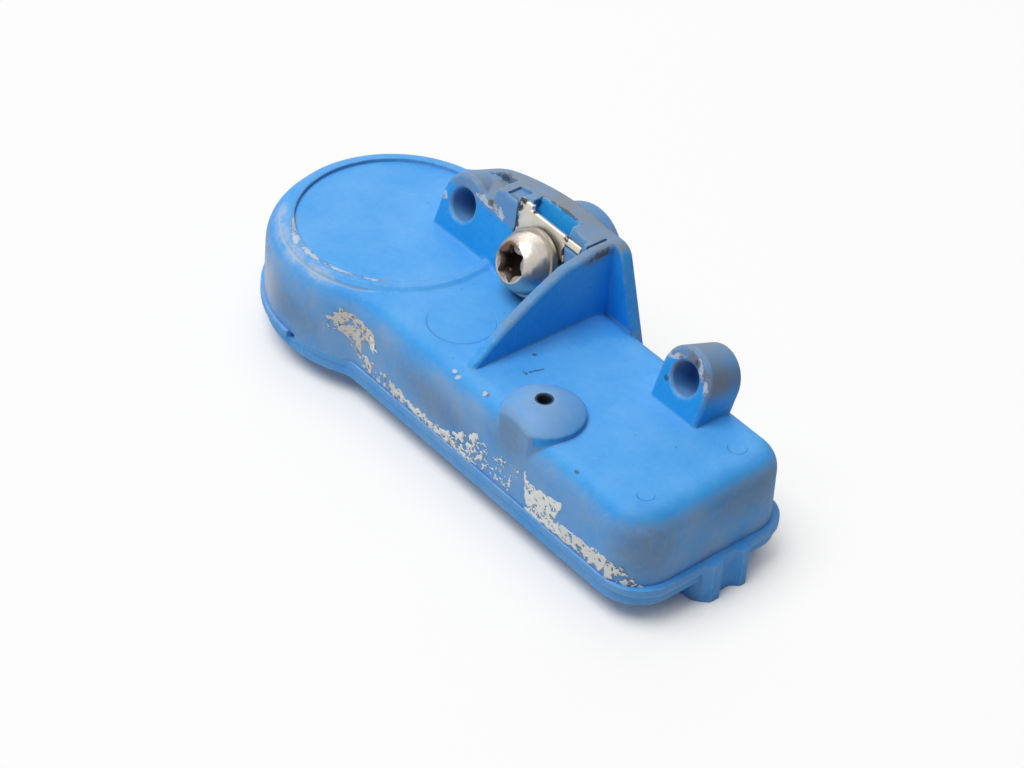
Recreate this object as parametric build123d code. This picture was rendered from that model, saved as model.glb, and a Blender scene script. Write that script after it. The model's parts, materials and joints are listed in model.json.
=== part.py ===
"""Tyre pressure sensor: moulded housing with valve bracket, base cover, retaining screw and electronics.

Millimetres. +X runs along the body from the round battery end to the flat end, +Y points to the valve
side and +Z up. The origin is under the middle of the box, on the surface that the sensor stands on.
"""
import os
from math import cos, radians, sin, tan

from build123d import *

# Heights, from the surface up
foot_height = 2.4
skirt_height = 1.25
flange_height = 0.8
body_height = 8.1
dome_rise = 0.35

# Plan of the body, measured from the axis of the round end
dome_radius = 13.55
end_reach = 50.65
end_skew = 1.5
front_reach = 11.25
rear_reach = 9.0
front_corner = 4.5
rear_corner = 3.8
waist_radius = 3.5
top_edge_radius = 2.6
draft_angle = 1.0
wall = 1.5
roof = 1.5

# Low round step on top of the battery end, with a recess in it
step_radius = 11.4
step_slope = 0.6
disc_radius = 10.6
disc_depth = 0.35

# Flange and skirt of the base cover
lip_overhang = 0.35
end_overhang = 0.7
rear_overhang = 0.45
front_overhang = 0.2
skirt_inset = 0.12
round_skirt_inset = 0.45
end_skirt_inset = 0.4
lip_stop_angle = -88.0
lip_notch = 0.9
cover_floor = 1.5
tongue_wall = 1.0
tongue_height = 1.0
fit_clearance = 0.12

# Ribbed foot under the flat end, and the curved foot under the battery end
foot_front = 3.1
foot_rear = 3.9
foot_depth = 4.6
foot_corner = 1.1
rib_reach = 0.7
rib_flank = 0.75
front_rib = (-2.6, 2.6)
rear_rib = (1.3, 2.2)
arc_foot_radius = 10.2
arc_foot_wall = 2.4
arc_foot_span = 130.0

# Pressure port boss
port_place = (32.5, -7.6)
port_radius = 4.15
port_rim = 0.55
port_rise = 1.5
port_tip_radius = 1.3
port_hole = 0.75
port_bulge = 0.2

# Valve axis: it leans back and down through the bracket, square to the eye faces
valve_tilt = 20.0
face_base = 2.9
eye_height = 3.43
eye_places = (5.05, 39.0)
eye_radius = 3.25
eye_bore = 1.72
eye_chamfer = 0.2
eye_thickness = 4.4
eye_depth = 3.5
edge_break = 0.3

# Valve bracket
rib_outer = 23.4
rib_wall = 1.3
rib_tip = -9.0
rib_belly = (-3.2, 4.33)
rib_slope_end = (2.2, 7.3)
rib_shelf_end = (4.7, 7.7)
rib_top_start = 6.0
bracket_top = 7.95
bracket_left = 8.7
bracket_wall = 1.25
ledge_height = 5.5
ledge_rear_height = 5.7
arch_start = -1.5
arch_points = ((-0.8, 2.3), (2.1, 4.0), (5.1, 5.8), (8.45, 6.95), (12.2, 7.75), (16.9, 8.2))
arch_end = 20.5
rear_wall_right = 27.7
rear_wall_top_right = 24.4
rear_wall_corner = 1.6

# Valve seat boss at the rear, the slot behind the clip and the shallow pocket at its left
screw_place = 16.7
seat_radius = 5.9
seat_reach = 6.6
seat_edge = 0.3
seat_bore = 3.4
seat_depth = 1.2
slot_width = 5.8
slot_shift = 0.6
slot_depth = 1.0
slot_drop = 1.2
pocket_left = 10.0
pocket_span = (5.65, 7.4)
pocket_floor = 7.05

# Steel clip: a plate that leans out to the left at its top, with a horn at the left and a tab at the right
clip_thickness = 0.6
clip_top = 4.25
clip_bottom = 3.0
clip_waist = 1.6
clip_left = 4.1
clip_left_top = 4.8
clip_right = 3.4
clip_right_top = 2.6
clip_gap = 0.12
horn_width = 1.9
horn_height = 0.5
clip_tab_reach = 2.2
clip_tab_drop = 0.8

# Retaining screw
screw_radius = 1.95
screw_clearance = 0.2
screw_end = 9.0
neck_radius = 2.9
neck_height = 0.4
collar_radius = 3.55
collar_height = 0.9
head_radius = 3.35
head_face_radius = 1.95
head_height = 3.6
head_shoulder = (3.1, 2.3)
head_clearance = 0.45
lobe_radius = 1.8
lobe_count = 6
flute_radius = 0.5
flute_depth = 0.5
recess_depth = 1.9

# Electronics
board_thickness = 0.8
board_edge_gap = 0.25
board_lift = 0.5
post_size = 2.4
post_places = ((12.5, -6.2), (12.5, 4.0), (45.0, -5.5), (45.0, 4.0))
cell_radius = 10.0
cell_height = 5.0
strip_reach = 8.9
tab_thickness = 0.2
strip_width = 3.0
strip_spacing = 4.4
strip_foot = 2.6
chip_size = 5.0
chip_height = 1.4
lid_height = 0.5
lid_margin = 0.35
seal_radius = 1.9
seal_bore = 0.9
controller_place = (19.6, -3.6)
controller_size = 6.5
controller_height = 0.9
transmitter_place = (26.8, -4.6)
transmitter_size = 4.4
transmitter_height = 0.95
crystal_place = (20.0, 3.0)
crystal_length = 5.0
crystal_width = 3.2
crystal_height = 1.1
coil_place = (40.4, -2.4)
coil_length = 9.0
coil_side = 2.6
coil_neck = 1.6
coil_flange = 1.0
winding_gap = 0.05
antenna_place = (35.0, 5.1)
antenna_length = 16.0
antenna_height = 4.2
antenna_thickness = 0.4
antenna_width = 1.2
passive_length = 1.6
passive_width = 0.8
capacitor_height = 0.8
resistor_height = 0.45
passive_pitch = 2.0
passive_count = 6
passive_start = 24.6
capacitor_row = 2.6
resistor_row = 0.2
inductor_places = ((37.2, 2.4), (44.4, -2.6), (44.4, 0.6))
inductor_size = 2.2
inductor_height = 1.8

# Levels and places worked out from the sizes above
skirt_z = foot_height
flange_z = skirt_z + skirt_height
joint_z = flange_z + flange_height
top_z = joint_z + body_height
dome_z = top_z + dome_rise
ceiling_z = top_z - roof
floor_z = skirt_z + cover_floor
board_z = floor_z + board_lift
board_top_z = board_z + board_thickness
board_front = front_reach - wall - fit_clearance - tongue_wall - board_edge_gap
chip_y = chip_size / 2 + board_edge_gap - board_front
flange_reach = end_reach + end_overhang
lip_radius = dome_radius + lip_overhang
skew = tan(radians(end_skew))
foot_reach = flange_reach - (front_reach + front_overhang) * skew
rib_corner = front_rib[0] + rib_flank
whole_reach = foot_reach + rib_reach * cos(radians(end_skew)) - rib_corner * sin(radians(end_skew))
dome_x = (lip_radius - whole_reach) / 2
lean = tan(radians(valve_tilt))
face_y = face_base + eye_height * lean
axis_z = top_z + eye_height
bracket_rear = rear_reach + rear_overhang
bracket_inner = bracket_rear - bracket_wall / 2
screw_bore = screw_radius + screw_clearance
sink = 1.0

# The eye faces lie in this plane: local X along the body, local Y up the face, local Z towards the front
tilted = Plane(
    origin=(dome_x, face_y, axis_z),
    x_dir=(1, 0, 0),
    z_dir=(0, -cos(radians(valve_tilt)), sin(radians(valve_tilt))),
)
on_axis = Plane(
    origin=(dome_x + screw_place, face_y, axis_z),
    x_dir=(1, 0, 0),
    z_dir=tilted.z_dir,
)


def at(x, y, z=0.0):
    """A place given from the axis of the round end."""
    return Pos(dome_x + x, y, z)


def body_plan(end, front, rear, inset):
    """Straight part of the body: square at the round end, skewed with rounded corners at the flat end."""
    rear_end = end - (front + rear) * skew
    plan = make_face(Polyline([(0, -front), (end, -front), (rear_end, rear), (0, rear)], close=True))
    near = plan.vertices().sort_by_distance((end, -front))[0]
    plan = fillet(near, front_corner - inset)
    far = plan.vertices().sort_by_distance((rear_end, rear))[0]
    return fillet(far, rear_corner - inset)


def whole_plan(radius, end, front, rear, inset):
    """Outline of the sensor seen from above: the round end blended into the straight body."""
    plan = Circle(radius) + body_plan(end, front, rear, inset)
    return fillet(plan.vertices().sort_by(Axis.X)[:2], waist_radius + inset)


def inner_plan(gap):
    """Outline of the cavity, drawn in by a gap."""
    inset = wall + gap
    return whole_plan(
        dome_radius - inset, end_reach - inset, front_reach - inset, rear_reach - inset, inset
    )


def side_profile(points):
    """Closed outline in the YZ plane, given as (y, height above the body top)."""
    return make_face(Plane.YZ * Polyline([(y, top_z + z) for y, z in points], close=True))


def across(profile, start, end):
    """Carry a YZ outline along the body from one X to another."""
    return at(start, 0) * extrude(profile, end - start, dir=(1, 0, 0))


def body_block():
    """Outer form: drafted walls and a generous radius round the top."""
    plan = whole_plan(dome_radius, end_reach, front_reach, rear_reach, 0)
    block = extrude(plan, body_height, taper=draft_angle)
    block = fillet(block.faces().sort_by(Axis.Z)[-1].edges(), top_edge_radius)
    return at(0, 0, joint_z) * block


def battery_step():
    """Low round step with sloping sides on top of the battery end."""
    foot = step_radius + step_slope
    side = Polyline(
        [
            (0, -sink),
            (foot, -sink),
            (foot, 0),
            (step_radius, dome_rise),
            (0, dome_rise),
        ],
        close=True,
    )
    return at(0, 0, top_z) * revolve(make_face(Plane.XZ * side), Axis.Z)


def battery_recess():
    """Shallow round recess in the step."""
    return at(0, 0, dome_z - disc_depth) * Cylinder(
        disc_radius, disc_depth + sink, align=(Align.CENTER, Align.CENTER, Align.MIN)
    )


def port_boss():
    """Pressure port: short cylinder with a low dome on top, cut flush with the front wall."""
    base = body_height / 2
    rim = (port_radius, port_rim)
    tip = (port_tip_radius, port_rim + port_rise)
    middle = ((rim[0] + tip[0]) / 2, (rim[1] + tip[1]) / 2 + port_bulge)
    side = Polyline([(0, tip[1]), (0, -base), (port_radius, -base), rim])
    crown = ThreePointArc(rim, middle, tip)
    section = make_face(Plane.XZ * (Curve() + [side, crown, Line(tip, (0, tip[1]))]))
    boss = at(*port_place, top_z) * revolve(section, Axis.Z)
    flush = at(end_reach / 2, -front_reach + joint_drop(base), top_z)
    keep = flush * Box(
        end_reach, 2 * front_reach, 4 * body_height, align=(Align.CENTER, Align.MIN, Align.CENTER)
    )
    return boss & keep


def joint_drop(depth):
    """How far the drafted wall has come in at a depth under the body top."""
    return (body_height - depth) * tan(radians(draft_angle))


def eye_lug(x):
    """Eye lug: round head on a straight foot, square to the valve axis, with soft front edges."""
    foot = eye_height / cos(radians(valve_tilt)) + sink
    face = Pos(x, 0) * Circle(eye_radius) + Pos(x, -foot / 2) * Rectangle(2 * eye_radius, foot)
    lug = extrude(tilted * face, -eye_thickness)
    front = lug.faces().sort_by(Axis(tilted.origin, tilted.z_dir))[-1]
    return chamfer(front.edges(), edge_break)


def eye_hole(x):
    """Blind hole of an eye with a chamfered mouth."""
    hole = Pos(x, 0, -eye_depth) * Cylinder(
        eye_bore, eye_depth + sink, align=(Align.CENTER, Align.CENTER, Align.MIN)
    )
    mouth = Pos(x, 0, -eye_chamfer / 2) * Cone(
        eye_bore, eye_bore + eye_chamfer, eye_chamfer
    )
    return tilted.location * (hole + mouth)


def face_line(z):
    """Y of the tilted face at a height above the body top."""
    return face_base + z * lean


def bracket():
    """Valve bracket: arched core behind the tilted face, side rib, ledge to the left eye and rear wall."""
    rib_inner = rib_outer - rib_wall
    arch = arch_face()
    behind_face = side_profile(
        [
            (face_line(-sink), -sink),
            (face_line(2 * bracket_top), 2 * bracket_top),
            (bracket_rear, 2 * bracket_top),
            (bracket_rear, -sink),
        ]
    )
    ledge = side_profile(
        [
            (face_line(-sink), -sink),
            (face_line(ledge_height), ledge_height),
            (bracket_rear - bracket_wall, ledge_rear_height),
            (bracket_inner, ledge_rear_height),
            (bracket_inner, -sink),
        ]
    )
    block = chamfer(rim_edges(side_rib()), edge_break)
    block += extrude(arch, bracket_rear) & across(behind_face, bracket_left, rib_inner)
    block += across(ledge, eye_places[0], bracket_left)
    return block + extrude(arch, bracket_wall)


def side_rib():
    """Rib at the right of the bracket: its edge swells up from the front to the bracket's top."""
    slope = ThreePointArc((rib_tip, 0), rib_belly, rib_slope_end)
    rest = Polyline(
        [
            rib_slope_end,
            rib_shelf_end,
            (rib_top_start, bracket_top),
            (bracket_inner, bracket_top),
            (bracket_inner, -sink),
            (rib_tip - sink, -sink),
            (rib_tip, 0),
        ]
    )
    profile = Pos(0, 0, top_z) * make_face(Plane.YZ * (Curve() + [slope, rest]))
    return across(profile, rib_outer - rib_wall, rib_outer)


def rim_edges(rib):
    """Edges of the rib along its upper outline: above the body top, neither across nor upright."""
    edges = rib.edges().filter_by(Axis.X, reverse=True).filter_by(Axis.Z, reverse=True)
    return edges.filter_by(lambda edge: edge.center().Z > top_z + edge_break)


def arch_face():
    """Outline of the bracket from the front: its top falls in an arch to the left and steeply at the right."""
    arch_top = (arch_end, bracket_top)
    arch = Spline([*arch_points, arch_top])
    edge = Polyline(
        [
            arch_top,
            (rear_wall_top_right, bracket_top),
            (rear_wall_right, -top_edge_radius),
            (rear_wall_right, -body_height),
            (arch_start, -body_height),
            (arch_start, 0),
            arch_points[0],
        ]
    )
    outline = make_face(Curve() + [arch, edge])
    corner = outline.vertices().sort_by_distance((rear_wall_top_right, bracket_top))[0]
    outline = fillet(corner, rear_wall_corner)
    return Plane(origin=(dome_x, bracket_rear, top_z), x_dir=(1, 0, 0), z_dir=(0, -1, 0)) * outline


def valve_seat():
    """Round seat for the valve foot, behind the bracket on the valve axis."""
    seat = Pos(0, 0, -seat_reach) * Cylinder(
        seat_radius, seat_reach - eye_thickness / 2, align=(Align.CENTER, Align.CENTER, Align.MIN)
    )
    seat = chamfer(seat.edges().group_by(Axis.Z)[0], seat_edge)
    behind = at(screw_place, bracket_rear - bracket_wall, top_z) * Box(
        4 * seat_radius, 4 * seat_radius, 4 * seat_radius, align=(Align.CENTER, Align.MIN, Align.CENTER)
    )
    return (on_axis.location * seat) & behind


def clip_recess():
    """Recess for the clip, open upwards and to the front, with a notch for its tab."""
    reach = 2 * eye_radius + bracket_top
    left = -clip_left - clip_gap
    left_top = -clip_left_top - clip_gap
    right = clip_right + clip_gap
    right_top = clip_right_top + clip_gap
    tab_end = clip_right_top + clip_tab_reach + clip_gap
    tab_foot = clip_top - clip_tab_drop - clip_gap
    outline = Polyline(
        [
            (left, -clip_bottom - clip_gap),
            (left, clip_waist),
            (left_top, clip_top),
            (left_top, reach),
            (tab_end, reach),
            (tab_end, tab_foot),
            (right_top, tab_foot),
            (right, clip_waist),
            (right, -clip_bottom - clip_gap),
        ],
        close=True,
    )
    return Pos(0, 0, -clip_thickness) * extrude(make_face(outline), clip_thickness + reach)


def valve_cuts():
    """Clip recess, slot behind it, room for the screw head, screw bore and the seat's counterbore."""
    reach = 2 * eye_radius + bracket_top
    slot = Pos(-slot_shift, -slot_drop, -clip_thickness - slot_depth) * Box(
        slot_width, slot_drop + reach, slot_depth + sink, align=(Align.CENTER, Align.MIN, Align.MIN)
    )
    room = Cylinder(collar_radius + head_clearance, reach, align=(Align.CENTER, Align.CENTER, Align.MIN))
    bore = Cylinder(screw_bore, 4 * seat_reach)
    counterbore = Pos(0, 0, -seat_reach + seat_depth) * Cylinder(
        seat_bore, seat_depth + reach, align=(Align.CENTER, Align.CENTER, Align.MAX)
    )
    return on_axis.location * (clip_recess() + slot + room + bore + counterbore)


def horn_pocket():
    """Shallow pocket in the bracket's top, beside the horn of the clip."""
    front, rear = pocket_span
    length = screw_place - clip_left_top - pocket_left
    return at(pocket_left, front, top_z + pocket_floor) * Box(
        length, rear - front, bracket_top, align=(Align.MIN, Align.MIN, Align.MIN)
    )


def cavity():
    """Room for the battery and the board, open underneath."""
    return at(0, 0, joint_z - sink) * extrude(inner_plan(0), ceiling_z - joint_z + sink)


def make_housing():
    shell = body_block() + battery_step() - battery_recess() + port_boss()
    shell += bracket()
    for x in eye_places:
        shell += eye_lug(x)
    shell += valve_seat()
    shell -= cavity()
    shell -= valve_cuts()
    shell -= horn_pocket()
    for x in eye_places:
        shell -= eye_hole(x)
    return shell - at(*port_place, top_z) * Cylinder(port_hole, 4 * roof + 4 * port_rise)


def flange_plan(round_inset, end_inset, side_inset):
    """Outline of the cover's rim, which stands proud of the walls."""
    return whole_plan(
        lip_radius - round_inset,
        flange_reach - end_inset,
        front_reach + front_overhang - side_inset,
        rear_reach + rear_overhang - side_inset,
        0,
    )


def foot_rib(start, width):
    """Upright rib on the foot: its sides slope in to a narrow outer face."""
    end = start + width
    return make_face(
        Polyline(
            [
                (-rib_flank, start),
                (0, start),
                (rib_reach, start + rib_flank),
                (rib_reach, end - rib_flank),
                (0, end),
                (-rib_flank, end),
            ],
            close=True,
        )
    )


def end_foot():
    """Foot under the flat end: rounded block with two ribs that reach up to the flange."""
    width = foot_front + foot_rear
    middle = (foot_rear - foot_front) / 2
    block = Pos(-foot_depth / 2, middle) * RectangleRounded(foot_depth, width, foot_corner)
    foot = extrude(block, flange_z)
    foot += extrude(foot_rib(*front_rib), joint_z)
    foot += extrude(foot_rib(*rear_rib), joint_z)
    return at(foot_reach, 0) * Rot(0, 0, end_skew) * foot


def arc_foot():
    """Curved foot under the battery end, as high as the other foot."""
    ring = Circle(arc_foot_radius) - Circle(arc_foot_radius - arc_foot_wall)
    half = arc_foot_span / 2
    reach = 2 * arc_foot_radius
    wedge = Polyline(
        [
            (0, 0),
            (-reach * cos(radians(half)), reach * sin(radians(half))),
            (-reach, 0),
            (-reach * cos(radians(half)), -reach * sin(radians(half))),
        ],
        close=True,
    )
    return at(0, 0) * extrude(ring & make_face(wedge), floor_z)


def lip_cut():
    """The lip stops at the front of the round end, in a small notch."""
    step = lip_radius - lip_overhang
    ring = Circle(lip_radius + sink) - Circle(step)
    reach = 2 * lip_radius
    beyond = Pos(0, -lip_radius) * Rectangle(reach, reach, align=(Align.MIN, Align.CENTER))
    start = Rot(0, 0, 90 + lip_stop_angle) * beyond
    before_wall = Pos(0, -lip_radius) * Rectangle(
        2 * (dome_radius - wall), 2 * (lip_radius - front_reach - front_overhang)
    )
    notch = Rot(0, 0, lip_stop_angle) * Pos(lip_radius, 0) * Rectangle(2 * lip_notch, lip_notch)
    sector = ring & start & before_wall
    return at(0, 0, flange_z) * extrude(sector + notch, flange_height + sink)


def board_posts():
    """Posts that carry the circuit board."""
    return [
        at(x, y, floor_z) * Box(
            post_size, post_size, board_lift, align=(Align.CENTER, Align.CENTER, Align.MIN)
        )
        for x, y in post_places
    ]


def make_base_cover():
    skirt = flange_plan(round_skirt_inset, end_skirt_inset, skirt_inset)
    cover = at(0, 0, skirt_z) * extrude(skirt, skirt_height)
    cover += at(0, 0, flange_z) * extrude(flange_plan(0, 0, 0), flange_height)
    cover -= lip_cut()
    tongue = extrude(inner_plan(fit_clearance), joint_z - floor_z + tongue_height)
    cover += at(0, 0, floor_z) * tongue
    pocket = extrude(inner_plan(fit_clearance + tongue_wall), joint_z + tongue_height)
    cover -= at(0, 0, floor_z) * pocket
    cover += end_foot()
    cover += arc_foot()
    for post in board_posts():
        cover += post
    return cover


def make_valve_clip():
    """Flat plate with the screw hole, a horn at its left top corner and a tab at the right one."""
    horn_end = horn_width - clip_left_top
    tab_end = clip_right_top + clip_tab_reach
    outline = Polyline(
        [
            (-clip_left, -clip_bottom),
            (-clip_left, clip_waist),
            (-clip_left_top, clip_top),
            (-clip_left_top, clip_top + horn_height),
            (horn_end, clip_top + horn_height),
            (horn_end, clip_top),
            (tab_end, clip_top),
            (tab_end, clip_top - clip_tab_drop),
            (clip_right_top, clip_top - clip_tab_drop),
            (clip_right, clip_waist),
            (clip_right, -clip_bottom),
        ],
        close=True,
    )
    return on_axis.location * extrude(make_face(outline) - Circle(screw_bore), -clip_thickness)


def lobe_sketch():
    """Six-lobe drive recess: a circle that six round flutes reach into."""
    place = lobe_radius - flute_depth + flute_radius
    return Circle(lobe_radius) - PolarLocations(place, lobe_count) * Circle(flute_radius)


def make_screw():
    """Round-head screw with a neck and a collar, lying on the valve axis with its neck on the clip."""
    collar_top = neck_height + collar_height
    side = Polyline(
        [
            (0, -screw_end),
            (screw_radius, -screw_end),
            (screw_radius, 0),
            (neck_radius, 0),
            (neck_radius, neck_height),
            (collar_radius, neck_height),
            (collar_radius, collar_top),
            (head_radius, collar_top),
            head_shoulder,
            (head_face_radius, head_height),
            (0, head_height),
        ],
        close=True,
    )
    section = make_face(Plane.XZ * side)
    screw = revolve(section, Axis.Z)
    screw -= Pos(0, 0, head_height - recess_depth) * extrude(lobe_sketch(), 2 * recess_depth)
    return on_axis.location * screw


def make_board():
    """Circuit board, cut to the outline of the cover's pocket."""
    plan = inner_plan(fit_clearance + tongue_wall + board_edge_gap)
    return at(0, 0, board_z) * extrude(plan, board_thickness)


def make_cell():
    """Coin cell: a plain round can."""
    can = Cylinder(cell_radius, cell_height, align=(Align.CENTER, Align.CENTER, Align.MIN))
    return at(0, 0, board_top_z + tab_thickness) * can


def make_bottom_tab():
    """Strip under the cell, out along the board."""
    length = strip_reach + cell_radius + strip_foot
    strip = Box(length, strip_width, tab_thickness, align=(Align.MIN, Align.CENTER, Align.MIN))
    return at(-strip_reach, -strip_spacing / 2, board_top_z) * strip


def make_top_tab():
    """Strip over the cell that folds down beside it and out on to the board."""
    drop = cell_height + tab_thickness
    reach = cell_radius + tab_thickness
    line = Polyline(
        [
            (-strip_reach, drop),
            (reach, drop),
            (reach, 0),
            (reach + strip_foot, 0),
            (reach + strip_foot, tab_thickness),
            (reach + tab_thickness, tab_thickness),
            (reach + tab_thickness, drop + tab_thickness),
            (-strip_reach, drop + tab_thickness),
        ],
        close=True,
    )
    strip = extrude(make_face(Plane.XZ * line), strip_width / 2, both=True)
    return at(0, strip_spacing / 2, board_top_z) * strip


def on_board(x, y, length, width, height):
    """A plain component body that stands on the board."""
    return at(x, y, board_top_z) * Box(
        length, width, height, align=(Align.CENTER, Align.CENTER, Align.MIN)
    )


def make_pressure_chip():
    """Body of the pressure sensor, at the board's front edge under the port."""
    return on_board(port_place[0], chip_y, chip_size, chip_size, chip_height)


def make_pressure_lid():
    """Metal lid of the pressure sensor, with its inlet hole under the port."""
    side = chip_size - 2 * lid_margin
    lid = Pos(0, 0, chip_height) * on_board(port_place[0], chip_y, side, side, lid_height)
    inlet = at(*port_place, board_top_z + chip_height) * Cylinder(port_hole, 4 * lid_height)
    return lid - inlet


def make_port_seal():
    """Rubber tube between the lid and the roof of the housing."""
    bottom = board_top_z + chip_height + lid_height
    ring = Circle(seal_radius) - Circle(seal_bore)
    return at(*port_place, bottom) * extrude(ring, ceiling_z - bottom)


def make_coil_core():
    """Ferrite bobbin of the wake-up coil, with a flange at each end."""
    neck = coil_length - 2 * coil_flange
    middle = Pos(0, 0, (coil_side - coil_neck) / 2) * on_board(*coil_place, coil_neck, neck, coil_neck)
    core = middle
    for side in (-1, 1):
        place = coil_place[1] + side * (neck + coil_flange) / 2
        core += on_board(coil_place[0], place, coil_side, coil_flange, coil_side)
    return core


def make_coil_winding():
    """Copper winding, a sleeve round the neck of the bobbin."""
    neck = coil_length - 2 * coil_flange
    outer = coil_side - 2 * winding_gap
    ring = Rectangle(outer, outer) - Rectangle(coil_neck, coil_neck)
    lift = Plane(
        origin=(dome_x + coil_place[0], coil_place[1], board_top_z + coil_side / 2), z_dir=(0, 1, 0)
    )
    return extrude(lift * ring, neck / 2, both=True)


def make_antenna():
    """Flat strip bent to a bridge on the board."""
    half = antenna_length / 2
    inner = half - antenna_thickness
    line = Polyline(
        [
            (-half, 0),
            (-half, antenna_height),
            (half, antenna_height),
            (half, 0),
            (inner, 0),
            (inner, antenna_height - antenna_thickness),
            (-inner, antenna_height - antenna_thickness),
            (-inner, 0),
        ],
        close=True,
    )
    strip = extrude(make_face(Plane.XZ * line), antenna_width / 2, both=True)
    return at(*antenna_place, board_top_z) * strip


def passive_row(y, height):
    """A row of equal chip components across the board."""
    places = [passive_start + i * passive_pitch for i in range(passive_count)]
    return Compound([on_board(x, y, passive_width, passive_length, height) for x in places])


pieces = {
    "housing": make_housing(),
    "base_cover": make_base_cover(),
    "retaining_screw": make_screw(),
    "valve_clip": make_valve_clip(),
    "circuit_board": make_board(),
    "coin_cell": make_cell(),
    "cell_top_tab": make_top_tab(),
    "cell_bottom_tab": make_bottom_tab(),
    "pressure_chip": make_pressure_chip(),
    "pressure_chip_lid": make_pressure_lid(),
    "port_seal": make_port_seal(),
    "controller_chip": on_board(*controller_place, controller_size, controller_size, controller_height),
    "transmitter_chip": on_board(
        *transmitter_place, transmitter_size, transmitter_size, transmitter_height
    ),
    "crystal": on_board(*crystal_place, crystal_length, crystal_width, crystal_height),
    "coil_core": make_coil_core(),
    "coil_winding": make_coil_winding(),
    "antenna_strip": make_antenna(),
    "chip_capacitors": passive_row(capacitor_row, capacitor_height),
    "chip_resistors": passive_row(resistor_row, resistor_height),
    "chip_inductors": Compound(
        [on_board(x, y, inductor_size, inductor_size, inductor_height) for x, y in inductor_places]
    ),
}

os.makedirs("parts", exist_ok=True)
for name, shape in pieces.items():
    export_step(shape, f"parts/{name}.step")
    print(name, round(shape.volume, 2))
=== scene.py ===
import json
import bmesh
import bpy
import numpy as np
from mathutils import Matrix, Vector


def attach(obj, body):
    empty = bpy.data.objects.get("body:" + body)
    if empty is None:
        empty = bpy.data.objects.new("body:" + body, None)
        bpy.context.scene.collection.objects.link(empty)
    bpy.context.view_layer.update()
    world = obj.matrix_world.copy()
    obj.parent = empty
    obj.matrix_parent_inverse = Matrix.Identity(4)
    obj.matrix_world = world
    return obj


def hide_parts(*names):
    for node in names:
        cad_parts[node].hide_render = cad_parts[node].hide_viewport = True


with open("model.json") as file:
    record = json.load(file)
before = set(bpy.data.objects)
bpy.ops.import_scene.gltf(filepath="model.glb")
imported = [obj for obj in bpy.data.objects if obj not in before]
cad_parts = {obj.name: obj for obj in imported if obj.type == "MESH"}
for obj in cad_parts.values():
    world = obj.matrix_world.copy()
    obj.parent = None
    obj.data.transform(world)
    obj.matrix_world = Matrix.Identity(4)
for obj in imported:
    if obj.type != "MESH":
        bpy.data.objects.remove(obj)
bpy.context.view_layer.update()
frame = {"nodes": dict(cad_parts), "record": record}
cadNodes = frame["nodes"]
mounts = {mount["name"]: mount for mount in frame["record"]["mounts"]}
mm = 0.001
mergeGap = 1e-6     # m, corners closer than this are one
bodyName = "root"
smooth = {"interpolation_type": "SMOOTHSTEP"}   # for a ramp with soft ends
print("frame loaded,", len(cadNodes), "nodes")


# small tools

def linearColour(hexText):
    # sRGB hex to linear: the low part is a straight line, the rest a power of 2.4
    parts = np.array([int(hexText[i:i + 2], 16) for i in (1, 3, 5)]) / 255
    light = np.where(parts <= 0.04045, parts / 12.92, ((parts + 0.055) / 1.055) ** 2.4)
    return (*light.tolist(), 1.0)


def metres(lengths):
    # from millimetres
    return [float(length) * mm for length in lengths]


def perMetre(sizeMm):
    # texture scale at which one feature is that many millimetres wide
    return 1 / (sizeMm * mm)


def feed(tree, node, inputs):
    # inputs by place or by name, each a value or another node's output
    for key, value in inputs.items() if isinstance(inputs, dict) else enumerate(inputs):
        if isinstance(value, bpy.types.NodeSocket):
            tree.links.new(value, node.inputs[key])
        else:
            node.inputs[key].default_value = value


def addNode(tree, kind, inputs=(), give=0, **settings):
    # new node with its settings and inputs; gives the output asked for, or the node itself for None
    node = tree.nodes.new("ShaderNode" + kind)
    for name, value in settings.items():
        setattr(node, name, value)
    feed(tree, node, inputs)
    return node if give is None else node.outputs[give]


def startMaterial(name):
    # empty material with a shader and its output
    material = bpy.data.materials.new(name)
    material.use_nodes = True
    tree = material.node_tree
    tree.nodes.clear()
    shader = addNode(tree, "BsdfPrincipled", give=None)
    addNode(tree, "OutputMaterial", {"Surface": shader.outputs[0]}, None)
    coords = addNode(tree, "TexCoord", give="Object")
    return material, tree, shader, coords


def layOver(tree, colour, layers):
    # each layer's colour over what lies below it, by its share
    for share, hexText in layers:
        colour = addNode(tree, "Mix", {0: share, 6: colour, 7: linearColour(hexText)}, 2, data_type="RGBA")
    return colour


def finishSurface(tree, shader, colour, metal, gloss, height, bump):
    # a bump from a pattern's height, by its rise in mm and its strength, and all of it into the shader
    rise, strength = bump
    normal = addNode(tree, "Bump", {"Height": height, "Distance": rise * mm, "Strength": strength})
    feed(tree, shader, {"Base Color": colour, "Metallic": metal, "Roughness": gloss, "Normal": normal})


def fromAxis(tree, coords, centre):
    # distance from the upright line through a centre in mm: the length of the offset without its height
    off = addNode(tree, "VectorMath", (coords, metres(centre)), operation="SUBTRACT")
    off = addNode(tree, "VectorMath", (off, (1, 1, 0)), operation="MULTIPLY")
    return addNode(tree, "VectorMath", (off,), "Value", operation="LENGTH")


def offCircle(tree, distance, radius):
    # how far a distance from the centre is off a radius in mm, in or out
    off = addNode(tree, "Math", (distance, radius * mm), operation="SUBTRACT")
    return addNode(tree, "Math", (off,), operation="ABSOLUTE")


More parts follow.
